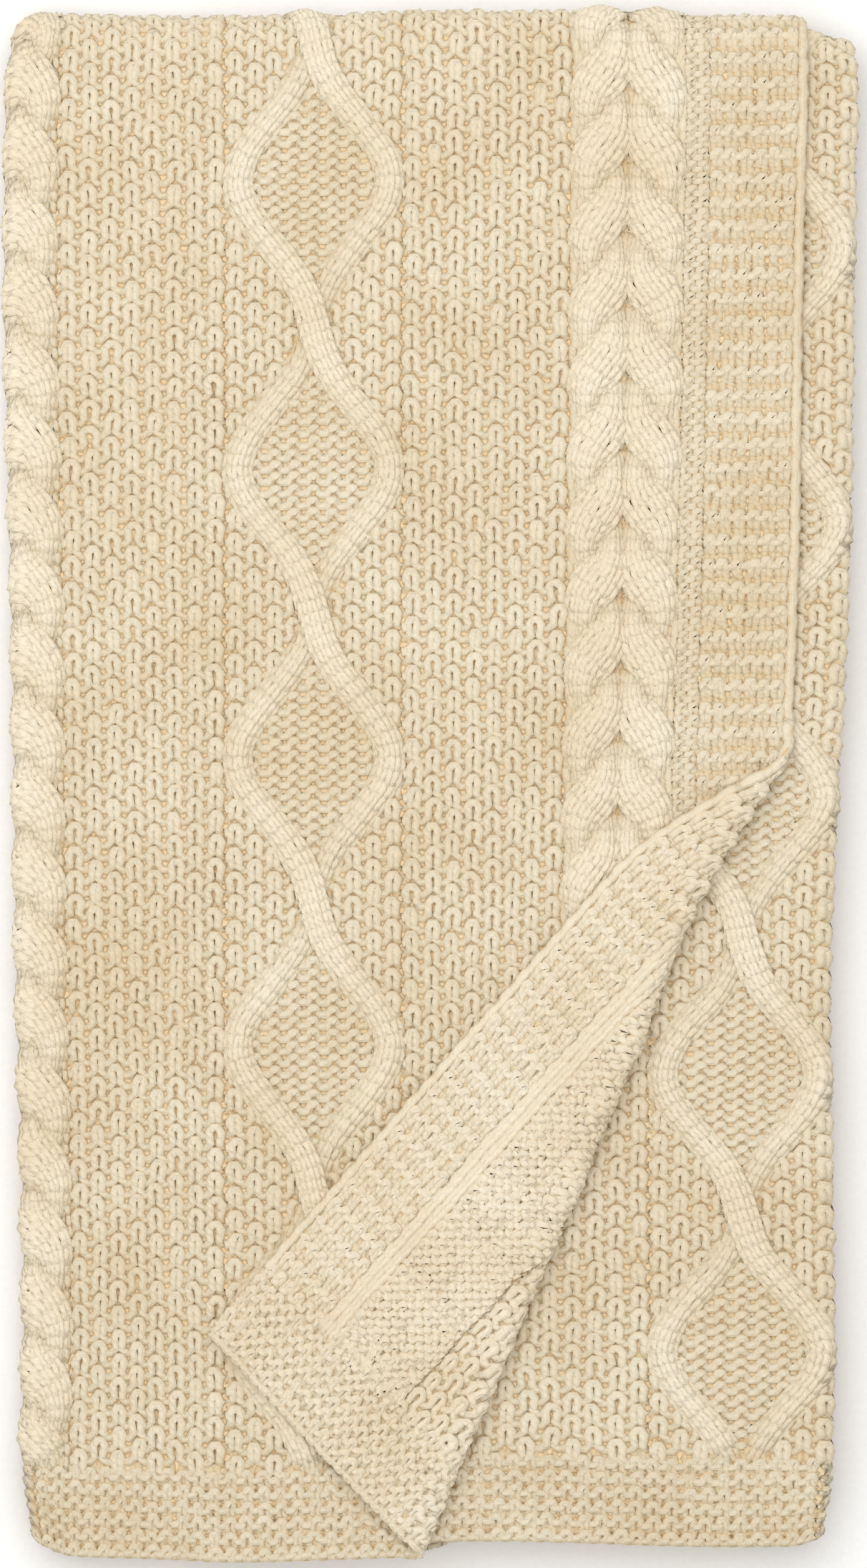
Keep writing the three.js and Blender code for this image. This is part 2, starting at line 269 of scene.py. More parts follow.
def settle(x, y, z):
    """The stack has been handled: its outline waves a little and its corners are round."""
    by_hem = 1 - smooth(y, -HALF_LENGTH, -HALF_LENGTH + 60.0)
    by_side = smooth(np.abs(x), HALF_WIDTH - 48.0, HALF_WIDTH - 4.0)
    by_top = smooth(y, HALF_LENGTH - 40.0, HALF_LENGTH)
    y = y + 9.0 * by_hem * by_side**2 - 6.0 * by_top * by_side**2
    # To the right of the turned corner the leaves underneath stop a little short
    underneath = 1 - smooth(z, CLOTH / 2 + 3.1 * PITCH, CLOTH / 2 + 3.8 * PITCH)
    y = y + 8.0 * by_hem * underneath * smooth(x, -10.0, 25.0)
    y = y + 1.6 * np.sin(x / 47.0 + 1.0) * smooth(np.abs(y), 250.0, 430.0)
    x = x - np.sign(x) * 5.0 * by_side * (by_hem**2 + 0.8 * by_top)
    x = x + 1.3 * np.sin(y / 63.0) * smooth(np.abs(x), 150.0, 230.0)
    return x, y


# Which body of the frame a stitch belongs to

UPPER, LOWER, COVER_TOP, TUCK_TOP, CREASE, CORNER, HIDDEN = range(7)


def region(s, t, whole=False):
    """The part of the folded throw that the flat point belongs to. Unless the whole is
    asked for, what lies between two leaves and never shows is left out."""
    lower = t > HALF_CUT
    along = np.where(lower, 2 * HALF_CUT - t, t)
    on_left, _, reach = side_bend(s)
    where = np.where(lower, LOWER, UPPER)
    top = (along > HALF_CUT - math.pi * reach / 2) & (reach > TIGHT_REACH)
    where = np.where(top & on_left, COVER_TOP, where)
    where = np.where(top & ~on_left, TUCK_TOP, where)
    x, y, _ = fold(s, t, np.zeros_like(s), flat_corner=True)
    past, turned = past_crease(s, x, y, lower)
    where = np.where(turned, CREASE, where)
    where = np.where(turned & (past > CREASE_ARC), CORNER, where)
    if whole:
        return where
    # Inside the folded thirds only the hems show
    under = np.where(lower, free_edge(y), np.minimum(free_edge(y), crease_x(y)))
    inside = (s > TUCK_FROM) & (along > HEM + ROW) & (x < under - SHOWS_UNDER)
    return np.where(inside, HIDDEN, where)


def crease_x(y):
    return CREASE_FOOT[0] + (y - CREASE_FOOT[1]) * CREASE_RUN[0] / CREASE_RUN[1]


# Stitches


def wobble(s, t, seed):
    """Slow unevenness of hand-tensioned knitting, from -1 to 1."""
    a = np.sin(0.171 * s + 1.9 * np.sin(0.043 * t + seed) + seed)
    b = np.sin(0.127 * t + 1.7 * np.sin(0.061 * s + 2 * seed))
    return (a + b) / 2


class Yarn:
    """One patch of yarn: rows of rings, each row one strand of stitches."""

    def __init__(self, path, radius, sides, steps, centre, uneven=0.35):
        rows, count, _ = path.shape
        s, t = path[..., 0], path[..., 1]
        path = path.copy()
        path[..., 0] += uneven * wobble(s, t, 1.3)
        path[..., 1] += uneven * wobble(s + 40, t, 4.1)
        path[..., 2] += 0.5 * uneven * wobble(s, t + 31, 7.7)
        tangent = np.gradient(path, axis=1)
        tangent /= np.linalg.norm(tangent, axis=2, keepdims=True) + 1e-9
        side = np.cross(tangent, [0.0, 0.0, 1.0])
        side /= np.linalg.norm(side, axis=2, keepdims=True) + 1e-9
        up = np.cross(side, tangent)
        around = 2 * math.pi * (np.arange(sides) + 0.5) / sides
        thick = radius * (1 + 0.06 * wobble(s * 3, t * 3, 2.2))[..., None, None]
        slubs = np.random.default_rng(rows + count).normal(size=(rows, count, sides, 1))
        thick = thick * (1 + 0.045 * np.clip(slubs, -2, 2))
        ring = np.cos(around)[:, None] * side[:, :, None, :]
        ring = ring + np.sin(around)[:, None] * up[:, :, None, :]
        self.rings = path[:, :, None, :] + thick * ring
        length = np.linalg.norm(np.diff(path, axis=1), axis=2)
        self.length = np.concatenate(
            [np.zeros((rows, 1)), np.cumsum(length, axis=1)], axis=1
        )
        self.sides, self.steps = sides, steps
        self.where = region(centre[..., 0], centre[..., 1])

    def pick(self, mask):
        """Vertices, quads, caps and yarn coordinates of the stitches in the mask."""
        count = self.length.shape[1]
        sides, steps = self.sides, self.steps
        segments = np.repeat(mask, steps, axis=1)
        row, step = np.nonzero(segments)
        here = (row * count + step)[:, None] * sides
        m = np.arange(sides)
        m_next = (m + 1) % sides
        quads = np.stack(
            [here + m, here + m_next, here + sides + m_next, here + sides + m], axis=2
        ).reshape(-1, 4)
        u0 = self.length[row, step][:, None] + 0 * m
        u1 = self.length[row, step + 1][:, None] + 0 * m
        v0, v1 = m / sides + 0 * u0, (m + 1) / sides + 0 * u0
        uv = np.stack(
            [
                np.stack([u0, v0], 2),
                np.stack([u0, v1], 2),
                np.stack([u1, v1], 2),
                np.stack([u1, v0], 2),
            ],
            axis=2,
        ).reshape(-1, 2)
        padded = np.pad(mask, ((0, 0), (1, 1)))
        starts = np.argwhere(padded[:, 1:-1] & ~padded[:, :-2])
        ends = np.argwhere(padded[:, 1:-1] & ~padded[:, 2:])
        first = (starts[:, 0] * count + starts[:, 1] * steps)[:, None] * sides
        last = (ends[:, 0] * count + (ends[:, 1] + 1) * steps)[:, None] * sides
        caps = np.concatenate([first + m[::-1], last + m])
        points = self.rings.reshape(-1, 3)
        used = np.unique(np.concatenate([quads.ravel(), caps.ravel()]))
        lookup = np.full(len(points), -1)
        lookup[used] = np.arange(len(used))
        return points[used], lookup[quads], lookup[caps], uv


def stitches(left, right, columns, bottom, rows, row, knit, look, place=None, first=0):
    """A patch of stitches. knit(column, row, s, t) is 1 for a knit stitch and -1 for a
    purl one, look holds the loop's sizes, and place maps the patch onto the cloth."""
    steps, sides = look["steps"], look["sides"]
    wale = (right - left) / columns
    column_at = np.arange(columns)
    row_at = np.arange(rows + 1)
    cs = left + (column_at + 0.5) * wale
    ct = bottom + (row_at + 0.5) * row
    grid_s, grid_t = np.meshgrid(cs, ct)
    grid_c, grid_r = np.meshgrid(column_at + first, row_at)
    sign = knit(grid_c, grid_r, grid_s, grid_t)
    own, above = sign[:-1], sign[1:]
    before = np.concatenate([own[:, :1], own[:, :-1]], axis=1)
    after = np.concatenate([own[:, 1:], own[:, -1:]], axis=1)
    # The points crowd together round the heads of the loops, where the yarn turns
    phase = 2 * math.pi * (np.arange(steps) + 0.5) / steps
    phase = phase - 0.22 * np.sin(2 * phase)
    c = np.cos(phase)
    down, up = np.maximum(c, 0) ** 2, np.maximum(-c, 0) ** 2
    legs = 1 - c * c
    depth = look["depth"]
    first_half = phase[None, None, :] < math.pi
    neighbour = np.where(first_half, before[..., None], after[..., None])
    n = depth * (
        legs * own[..., None] * look.get("legs", 1.0)
        - up * above[..., None]
        - down * (neighbour + own[..., None]) / 2
    )
    x = wale * phase / (2 * math.pi) + look["pinch"] * wale * np.sin(2 * phase) - wale / 2
    x = x + look["close"] * wale * np.sin(phase) * np.abs(np.sin(phase))
    y = -look["tall"] / 2 * c
    # No two hand-made stitches are alike: heads and legs stray, the joins stay put
    stray = look.get("stray", 0.7)
    chance = np.random.default_rng(int(10 * abs(left) + bottom) + columns)
    loose = np.sin(phase / 2) ** 2
    drift = stray * chance.normal(size=(4, rows, columns, 1))
    s = grid_s[:-1][..., None] + x + drift[0] * loose + 0.7 * drift[1] * np.sin(phase)
    t = grid_t[:-1][..., None] + y + 0.7 * drift[2] * loose
    n = n + 0.45 * drift[3] * loose
    along_row = (rows, columns * steps)
    s, t, n = s.reshape(along_row), t.reshape(along_row), n.reshape(along_row)
    end_s = np.full((rows, 1), right)
    end_t = grid_t[:-1, :1] - look["tall"] / 2
    end_n = -depth * own[:, -1:]
    path = np.stack(
        [
            np.concatenate([s, end_s], 1),
            np.concatenate([t, end_t], 1),
            np.concatenate([n, end_n], 1),
        ],
        axis=2,
    )
    centre = np.stack([grid_s[:-1], grid_t[:-1]], axis=2)
    if place:
        path = place(path)
        centre = place(np.concatenate([centre, np.zeros_like(centre[..., :1])], 2))
    return Yarn(path, look["yarn"] / 2, sides, steps, centre, look.get("uneven", 0.35))


# The chart


def seed(column, row, s, t):
    return np.where((column + row) % 2 == 0, 1.0, -1.0)


def garter(column, row, s, t):
    return np.where(row % 2 == 0, 1.0, -1.0)


def knit(column, row, s, t):
    return np.ones_like(s)


def purl(column, row, s, t):
    return -np.ones_like(s)


def rope_swing(t, centre):
    """How far a travelling rope stands from its diamond's middle, and whether it
    passes in front."""
    widest, period = DIAMOND_PERIOD[centre]
    phase = math.pi * (t - widest) / period
    c = np.cos(phase)
    swing = DIAMOND_SWING * (0.3 * c + 0.7 * c**3)
    front = -np.sign(np.sin(phase)) * np.abs(np.sin(phase)) ** 5
    return swing, front


def diamond_ground(centre):
    def chart(column, row, s, t):
        swing, _ = rope_swing(t, centre)
        inside = np.abs(s - centre) < np.abs(swing) - 5
        return np.where(inside, -1.0, seed(column, row, s, t))

    return chart


def lowered(under):
    """The ground sinks a little where a rope passes over it."""

    def place(path):
        path = path.copy()
        path[..., 2] -= under(path[..., 0], path[..., 1])
        return path

    return place


def under_ropes(centre):
    def depth(s, t):
        swing, _ = rope_swing(t, centre)
        near = np.minimum(np.abs(s - centre - swing), np.abs(s - centre + swing))
        return 3.2 * (1 - smooth(near, 5.0, 11.0))

    return depth


def from_end(t):
    """Distance along the cloth from the nearer of its two ends."""
    return np.minimum(t, 2 * HALF_CUT - t)


def cable_furrow(off, t):
    """The ground under a horseshoe cable sinks, with slanted furrows on its back."""
    from_lobe = np.abs(np.abs(off) - HORSESHOE_WIDE / 4)
    slant = np.cos(2 * math.pi * (t - 0.9 * from_lobe) / (6 * ROW))
    middle = 1 - smooth(np.abs(off), 0.0, 5.0)
    sunk = 1.7 + 1.2 * slant - 1.6 * middle
    edge = 1 - 0.75 * smooth(np.abs(off), 22.0, HORSESHOE_WIDE / 2)
    return sunk * edge * smooth(from_end(t) - HEM, 0.0, 30.0)


def strand(centre, swing_of, height_of, width_of=None):
    """Maps a narrow knitted band onto the winding line of a cable. Its cross-section
    is crowned, and it may spread where it lies on top."""

    def place(path):
        b, a, c = path[..., 0], path[..., 1], path[..., 2]
        crown = 0.04 * b * b
        risen = smooth(from_end(a) - HEM, -2.0, 14.0)
        if width_of:
            b = b * width_of(a)
        swing = swing_of(a)
        slope = swing_of(a + 0.5) - swing_of(a - 0.5)
        size = np.sqrt(1 + slope**2)
        s = centre + swing + b / size
        t = a - b * slope / size
        n = risen * height_of(a) + c * (0.4 + 0.6 * risen) - crown
        # Even where it dives, the strand stays inside the cloth
        n = np.where(n < -1.0, -1.0 + 0.3 * (n + 1.0), n)
        return np.stack([s, t, n], axis=-1)

    return place


def looks(fine):
    """Loop sizes for ground, hem and cable stitches; hidden sides are cut coarser."""
    if fine:
        steps, sides, rope_steps, rope_sides = 8, 5, 6, 4
    else:
        steps, sides, rope_steps, rope_sides = 6, 3, 4, 3
    ground = {"steps": steps, "sides": sides, "yarn": 5.9, "depth": 1.5}
    ground.update(pinch=0.15, close=0.055, tall=ROW + 5.0, uneven=0.5)
    hem = dict(ground, tall=HEM_ROW + 4.0, yarn=5.2, depth=1.4, legs=0.45)
    rope = {"steps": rope_steps, "sides": rope_sides, "yarn": 4.9, "depth": 0.8}
    rope.update(pinch=0.22, close=0.02, tall=ROW + 4.2, uneven=0.4, stray=0.25)
    return ground, hem, rope


def chart_bands():
    """The bands across the cloth: name, from, to, columns, kind and middle. Seed
    stitch fills what the cables leave free."""
    cables = [(centre, "horseshoe", HORSESHOE_WIDE, 8, "sunk") for centre in HORSESHOES]
    cables += [(centre, "diamond", DIAMOND_WIDE, 9, "diamond") for centre in DIAMONDS]
    inner = SIDE_BORDER + GUTTER
    bands = [
        ("side_border", SELVEDGE, SIDE_BORDER, 6, "garter", 0),
        ("gutter", SIDE_BORDER, inner, 2, "purl", 0),
    ]
    for centre, name, wide, columns, kind in sorted(cables):
        edge = bands[-1][2]
        if edge < centre - wide / 2:
            bands.append(("seed", edge, centre - wide / 2, 8, "seed", 0))
        bands.append((name, centre - wide / 2, centre + wide / 2, columns, kind, centre))
    far_border = CLOTH_WIDE - SIDE_BORDER
    bands.append(("gutter", CLOTH_WIDE - inner, far_border, 2, "purl", 0))
    bands.append(("side_border", far_border, CLOTH_WIDE - SELVEDGE, 6, "garter", 0))
    return bands


BANDS = chart_bands()


def is_fine(start, end, upper):
    """The cover leaf and the tuck leaf of the upper half are what is seen first."""
    middle = (start + end) / 2
    return upper and (middle < BASE_FROM or middle > BASE_TO - 10)


def halves():
    """From and rows of each half of the cloth between its hem and the half fold."""
    start = HEM - 2.0
    rows = round((HALF_CUT - start) / ROW)
    step = (HALF_CUT - start) / rows
    return ((True, start, rows, step), (False, HALF_CUT, rows, step))


def knit_band(band, upper, bottom, rows, step):
    _, start, end, columns, kind, centre = band
    ground, _, rope = looks(is_fine(start, end, upper))
    if kind == "garter":
        ground.update(legs=0.35, depth=1.9, tall=ROW + 3.6)
    if kind == "purl":
        ground.update(stray=0.4)
    if kind == "diamond":
        ground.update(stray=0.4, tall=ROW + 4.4)
    if kind == "sunk" and start > COVER_WIDE / 2:
        # A cable hides all of this ground, which shows only on the turned-back corner
        ground.update(steps=6, sides=3)
    patches = []
    chart = {"garter": garter, "purl": purl, "sunk": knit, "seed": seed}.get(kind)
    place = None
    if kind == "diamond":
        chart, place = diamond_ground(centre), lowered(under_ropes(centre))
    if kind == "sunk":
        place = lowered(lambda s, t: cable_furrow(s - (start + end) / 2, t))
    first = sum(other[3] for other in BANDS if other[1] < start)
    patches.append(
        stitches(start, end, columns, bottom, rows, step, chart, ground, place, first)
    )
    if kind == "sunk":
        rope["yarn"] += 0.6
        patches += horseshoe((start + end) / 2, bottom, rows, step, rope)
    if kind == "diamond":
        patches += diamond_ropes(centre, bottom, rows, step, rope)
    if kind == "garter":
        edge = SELVEDGE / 2 if start < 100 else CLOTH_WIDE - SELVEDGE / 2
        patches.append(selvedge(edge, bottom, rows, step, ground))
    return patches


def horseshoe(centre, bottom, rows, step, rope):
    """Two mirrored cables, each of two strands that are four loops wide."""
    turn = 2 * math.pi / (12 * ROW)
    lobe, reach = HORSESHOE_WIDE / 4 - 1.3, 8.1
    patches = []
    for side in (-1, 1):
        for strand_phase in (0, math.pi):
            def swing(a, side=side, p=strand_phase):
                c = np.cos(turn * a + p)
                c = c * (1.25 - 0.25 * c * c)
                return side * (lobe + reach * c)

            def height(a, p=strand_phase):
                return 2.6 + 2.9 * np.sin(turn * a + p)

            def width(a, p=strand_phase):
                return 0.9 + 0.5 * np.maximum(np.sin(turn * a + p), 0)

            patches.append(
                stitches(-10.0, 10.0, 4, bottom, rows, step, knit, rope,
                         strand(centre, swing, height, width))
            )
    return patches


def diamond_ropes(centre, bottom, rows, step, rope):
    """Two ropes of three knit columns that cross between the diamonds."""
    patches = []
    for side in (-1, 1):
        def swing(a, side=side):
            return side * rope_swing(a, centre)[0]

        def height(a, side=side):
            return 3.0 + 2.3 * side * rope_swing(a, centre)[1]

        patches.append(
            stitches(-8.4, 8.4, 3, bottom, rows, step, knit, rope,
                     strand(centre, swing, height))
        )
    return patches


def selvedge(centre, bottom, rows, step, ground):
    """The rolled edge: a long smooth cord of yarn with a slow pulse at every row pair."""
    points = rows * 2 + 1
    t = bottom + np.arange(points) * rows * step / (points - 1)
    pulse = np.sin(math.pi * t / step)
    path = np.stack([centre + 0.4 * pulse, t, 0.5 * pulse], axis=1)[None]
    where = np.stack([np.full(rows, centre), bottom + (np.arange(rows) + 0.5) * step], 1)
    return Yarn(path, 3.3, max(ground["sides"], 4), 2, where[None], 0.3)


def cast_on(at):
    """The firm cord of loops that a hem starts or ends with."""
    columns = round(CLOTH_WIDE / HEM_STITCH)
    s = 2.0 + np.arange(columns * 3 + 1) * (CLOTH_WIDE - 4.0) / (columns * 3)
    pulse = np.sin(2 * math.pi * np.arange(columns * 3 + 1) / 3)
    path = np.stack([s, at + 0.3 * pulse, 0.6 * pulse], axis=1)[None]
    middle = np.stack([s[:-1:3] + 4.7, np.full(columns, at)], 1)[None]
    return Yarn(path, 2.9, 5, 3, middle, 0.5)


def hem_bands():
    """Garter hems right across both ends of the cloth."""
    patches = []
    rows = round(HEM / HEM_ROW)
    edges = (0.0, COVER_WIDE, TUCK_FROM, CLOTH_WIDE)
    for upper, bottom in ((True, 0.0), (False, 2 * HALF_CUT - HEM)):
        patches.append(cast_on(1.2 if upper else 2 * HALF_CUT - 1.2))
        for start, end in zip(edges, edges[1:]):
            middle = (start + end) / 2
            fine = upper and not BASE_FROM < middle < BASE_TO
            _, hem, _ = looks(fine)
            columns = round((end - start) / HEM_STITCH)
            patches.append(
                stitches(start, end, columns, bottom, rows, HEM / rows, garter, hem)
            )
    return patches


# Meshes


def to_world(points):
    """Folds the points. Yarn that would go through the floor is pressed flat on it."""
    t = points[:, 1]
    pressed = np.minimum(from_end(t) - 2.0, 0)
    drawn_in = 3.0 * (np.exp(pressed / 3.0) - 1) - pressed
    t = t + np.where(t < HALF_CUT, drawn_in, -drawn_in)
    x, y, z = fold(points[:, 0], t, points[:, 2])
    z = np.where(z < 1.5, 1.5 * np.exp(np.minimum(z - 1.5, 0) / 1.5), z)
    return np.stack([x, y, z], axis=1) * MM


def make_mesh(name, vertices, polygons, sizes, uv, crest, material):
    """A mesh object from arrays: polygon corners end to end, and their counts."""
    mesh = bpy.data.meshes.new(name)
    starts = np.concatenate([[0], np.cumsum(sizes)[:-1]])
    if signed_volume(vertices, polygons, starts, sizes) < 0:
        order = np.arange(len(polygons))
        for size in np.unique(sizes):
            first = starts[sizes == size][:, None]
            order[first + np.arange(size)] = first + np.arange(size)[::-1]
        polygons, uv = polygons[order], uv[order]
    mesh.vertices.add(len(vertices))
    mesh.vertices.foreach_set("co", vertices.astype(np.float32).ravel())
    mesh.loops.add(len(polygons))
    mesh.loops.foreach_set("vertex_index", polygons.astype(np.int32))
    mesh.polygons.add(len(sizes))
    mesh.polygons.foreach_set("loop_start", starts.astype(np.int32))
    mesh.polygons.foreach_set("use_smooth", np.ones(len(sizes), bool))
    layer = mesh.uv_layers.new(name="Yarn")
    layer.uv.foreach_set("vector", uv.astype(np.float32).ravel())
    # This attribute drives the painted highlight and painted shade of the yarn colour
    attribute = mesh.attributes.new("crest", "FLOAT", "POINT")
    attribute.data.foreach_set("value", crest.astype(np.float32))
    mesh.update(calc_edges=True)
    mesh.validate()
    mesh.materials.append(material)
    piece = bpy.data.objects.new(name, mesh)
    bpy.context.collection.objects.link(piece)
    return piece


def signed_volume(vertices, polygons, starts, sizes):
    total = 0.0
    for size in np.unique(sizes):
        corners = polygons[starts[sizes == size][:, None] + np.arange(size)]
        a = vertices[corners[:, 0]]
        for k in range(1, size - 1):
            b, c = vertices[corners[:, k]], vertices[corners[:, k + 1]]
            total += np.einsum("ij,ij->", a, np.cross(b, c))
    return total


def knit_piece(name, patches, wanted, material):
    """One object from the stitches of some patches that lie in the wanted region."""
    vertices, polygons, sizes, uvs, crests = [], [], [], [], []
    offset = 0
    for patch in patches:
        mask = wanted(patch)
        if not mask.any():
            continue
        points, quads, caps, uv = patch.pick(mask)
        vertices.append(to_world(points))
        height = points[:, 2]
        # Crest sets the painted light and shade: the further the yarn stands out, the paler
        # it is painted; yarn below the middle, the wrong side on the turned-back corner,
        # gets the palest painted highlight
        crests.append(np.where(height < 0, 2.4 - height, height))
        polygons += [quads.ravel() + offset, caps.ravel() + offset]
        sizes += [np.full(len(quads), 4), np.full(len(caps), patch.sides)]
        uvs += [uv, np.zeros((caps.size, 2))]
        offset += len(points)
    if not vertices:
        return None
    return make_mesh(
        name,
        np.concatenate(vertices),
        np.concatenate(polygons),
        np.concatenate(sizes),
        np.concatenate(uvs),
        np.concatenate(crests),
        material,
    )


def core_piece(name, wanted, material):
    """The thin felted middle of the cloth, which closes the holes between loops and shows
    through them in the tan painted shade of the hollows.
    """
    steps_s = np.unique(np.concatenate([
        np.linspace(0, COVER_WIDE, 48),
        np.linspace(COVER_WIDE, BASE_FROM, 7),
        np.linspace(BASE_FROM, BASE_TO, 48),
        np.linspace(BASE_TO, TUCK_FROM, 7),
        np.linspace(TUCK_FROM, CLOTH_WIDE, 34),
    ]))
    steps_s[0], steps_s[-1] = 3.0, CLOTH_WIDE - 3.0
    near_fold = HALF_CUT - 36.0
    steps_t = np.concatenate([
        np.linspace(4.0, near_fold, 96),
        np.linspace(near_fold, 2 * HALF_CUT - near_fold, 25)[1:-1],
        np.linspace(2 * HALF_CUT - near_fold, 2 * HALF_CUT - 4.0, 96),
    ])
    middle_s = (steps_s[1:] + steps_s[:-1]) / 2
    middle_t = (steps_t[1:] + steps_t[:-1]) / 2
    grid_s, grid_t = np.meshgrid(middle_s, middle_t)
    mask = region(grid_s, grid_t, whole=True) == wanted
    node_s, node_t = np.meshgrid(steps_s, steps_t)
    count = node_s.size
    wide = node_s.shape[1]
    flat = np.stack([node_s.ravel(), node_t.ravel()], 1)
    thin = 0.5
    points = np.concatenate([
        np.column_stack([flat, np.full(count, thin)]),
        np.column_stack([flat, np.full(count, -thin)]),
    ])
    row, column = np.nonzero(mask)
    a = row * wide + column
    b, c, d = a + 1, a + wide + 1, a + wide
    faces = [np.stack([a, b, c, d], 1), np.stack([d, c, b, a], 1) + count]
    padded = np.pad(mask, 1)
    inner = padded[1:-1, 1:-1]
    for shift, first, second in (
        ((-1, 0), a, b), ((0, 1), b, c), ((1, 0), c, d), ((0, -1), d, a)
    ):
        other = np.roll(padded, (-shift[0], -shift[1]), (0, 1))[1:-1, 1:-1]
        rim = (inner & ~other)[row, column]
        p, q = first[rim], second[rim]
        faces.append(np.stack([q, p, p + count, q + count], 1))
    faces = np.concatenate(faces)
    used = np.unique(faces)
    lookup = np.full(len(points), -1)
    lookup[used] = np.arange(len(used))
    points = points[used]
    polygons = lookup[faces].ravel()
    uv = np.column_stack([points[polygons, 0], points[polygons, 1]])
    return make_mesh(
        name, to_world(points), polygons, np.full(len(faces), 4), uv,
        np.zeros(len(points)), material,
    )


# Materials


def linear(code):
    """An sRGB hex colour as the linear colour that shaders use."""
    channels = [int(code[k : k + 2], 16) / 255 for k in (1, 3, 5)]
    return [
        c / 12.92 if c <= 0.04045 else ((c + 0.055) / 1.055) ** 2.4 for c in channels
    ] + [1.0]


def node(tree, kind, settings=None, **links):
    """Adds a node, sets its properties, and links or sets its inputs by name."""
    made = tree.nodes.new(kind)
    for key, value in (settings or {}).items():
        setattr(made, key, value)
    for key, value in links.items():
        number = key[1:]
        socket = made.inputs[int(number) if number.isdigit() else key.replace("_", " ")]
        if isinstance(value, bpy.types.NodeSocket):
            tree.links.new(value, socket)
        else:
            socket.default_value = value
    return made


def new_material(name):
    material = bpy.data.materials.new(name)
    material.use_nodes = True
    tree = material.node_tree
    shader = tree.nodes["Principled BSDF"]
    return material, tree, shader


def maths(tree, operation, *inputs, clamp=False):
    """The output of a sum of up to three inputs."""
    settings = {"operation": operation, "use_clamp": clamp}
    links = {f"i{k}": value for k, value in enumerate(inputs)}
    return node(tree, "ShaderNodeMath", settings, **links).outputs[0]


def bumped(tree, shader, strength, distance, height):
    bump = node(tree, "ShaderNodeBump", Strength=strength, Distance=distance,
                Height=height)
    tree.links.new(bump.outputs[0], shader.inputs["Normal"])


def ramp(tree, factor, stops):
    made = node(tree, "ShaderNodeValToRGB", i0=factor)
    made.color_ramp.elements[0].position, made.color_ramp.elements[0].color = stops[0]
    made.color_ramp.elements[1].position, made.color_ramp.elements[1].color = stops[-1]
    for position, colour in stops[1:-1]:
        made.color_ramp.elements.new(position).color = colour
    return made.outputs["Color"]


def knit_yarn_material(colours):
    """Chunky acrylic-wool yarn, soft spun from two plies and brushed by handling.
    The plies give slanted lines along the strand. The crests and the wrong side get a
    pale painted highlight, the deep places between loops a warm tan painted shade."""
    material, tree, shader = new_material("Soft-spun knitting yarn")
    uv = node(tree, "ShaderNodeUVMap", {"uv_map": "Yarn"}).outputs["UV"]
    split = node(tree, "ShaderNodeSeparateXYZ", i0=uv)
    # A ply goes once round the strand in about 9 mm
    twist = maths(tree, "MULTIPLY_ADD", split.outputs[0], 1 / 9.0, split.outputs[1])
    ply = maths(tree, "SINE", maths(tree, "MULTIPLY", twist, 4 * math.pi))
    place = node(tree, "ShaderNodeTexCoord").outputs["Object"]
    # Fibre clumps of about 1 mm, patches of tension and shade of about 60 mm
    fibre = node(tree, "ShaderNodeTexNoise", Vector=place, Scale=900.0, Detail=3.0,
                 Roughness=0.65)
    patch = node(tree, "ShaderNodeTexNoise", Vector=place, Scale=16.0, Detail=2.0)
    # Light and shade are painted into the colour by how far the yarn stands out
    crest = node(tree, "ShaderNodeAttribute", {"attribute_name": "crest"}).outputs["Fac"]
    raised = node(tree, "ShaderNodeMapRange", Value=crest, i1=0.4, i2=5.6)
    shade = maths(tree, "MULTIPLY_ADD", fibre.outputs["Fac"], 0.35, -0.17)
    height = maths(tree, "ADD", raised.outputs[0], shade, clamp=True)
    # Tan painted shade in the hollows, the yarn colour between, a pale painted highlight on
    # top
    colour = ramp(tree, height, [
        (0.0, linear(colours.painted_hollow_shade)),
        (0.4, linear(colours.yarn)),
        (1.0, linear(colours.painted_highlight)),
    ])
    tint = ramp(tree, patch.outputs["Fac"], [
        (0.3, linear("#F3EADB")), (0.7, linear("#FFFFFF"))])
    mixed = node(tree, "ShaderNodeMix", {"data_type": "RGBA", "blend_type": "MULTIPLY"},
                 i0=0.7, i6=colour, i7=tint)
    tree.links.new(mixed.outputs[2], shader.inputs["Base Color"])
    rough = node(tree, "ShaderNodeMapRange", Value=fibre.outputs["Fac"], i1=0.3, i2=0.7,
                 i3=0.82, i4=0.98)
    tree.links.new(rough.outputs[0], shader.inputs["Roughness"])
    shader.inputs["Sheen Weight"].default_value = 0.4
    shader.inputs["Sheen Tint"].default_value = linear("#FFF0D2")
    shader.inputs["Sheen Roughness"].default_value = 0.5
    shader.inputs["Specular IOR Level"].default_value = 0.2
    # Single fibres lie along the strand: about 8 mm long and 0.6 mm apart
    lengthwise = node(tree, "ShaderNodeCombineXYZ")
    for socket, scale in ((0, 1 / 8.0), (1, 26.0)):
        stretch = maths(tree, "MULTIPLY", split.outputs[socket], scale)
        tree.links.new(stretch, lengthwise.inputs[socket])
    strands = node(tree, "ShaderNodeTexNoise", Vector=lengthwise.outputs[0], Scale=1.0,
                   Detail=2.0)
    grooves = maths(tree, "MULTIPLY_ADD", ply, 0.3, fibre.outputs["Fac"])
    grooves = maths(tree, "MULTIPLY_ADD", strands.outputs["Fac"], 0.8, grooves)
    bumped(tree, shader, 0.7, 0.0012, grooves)
    return material


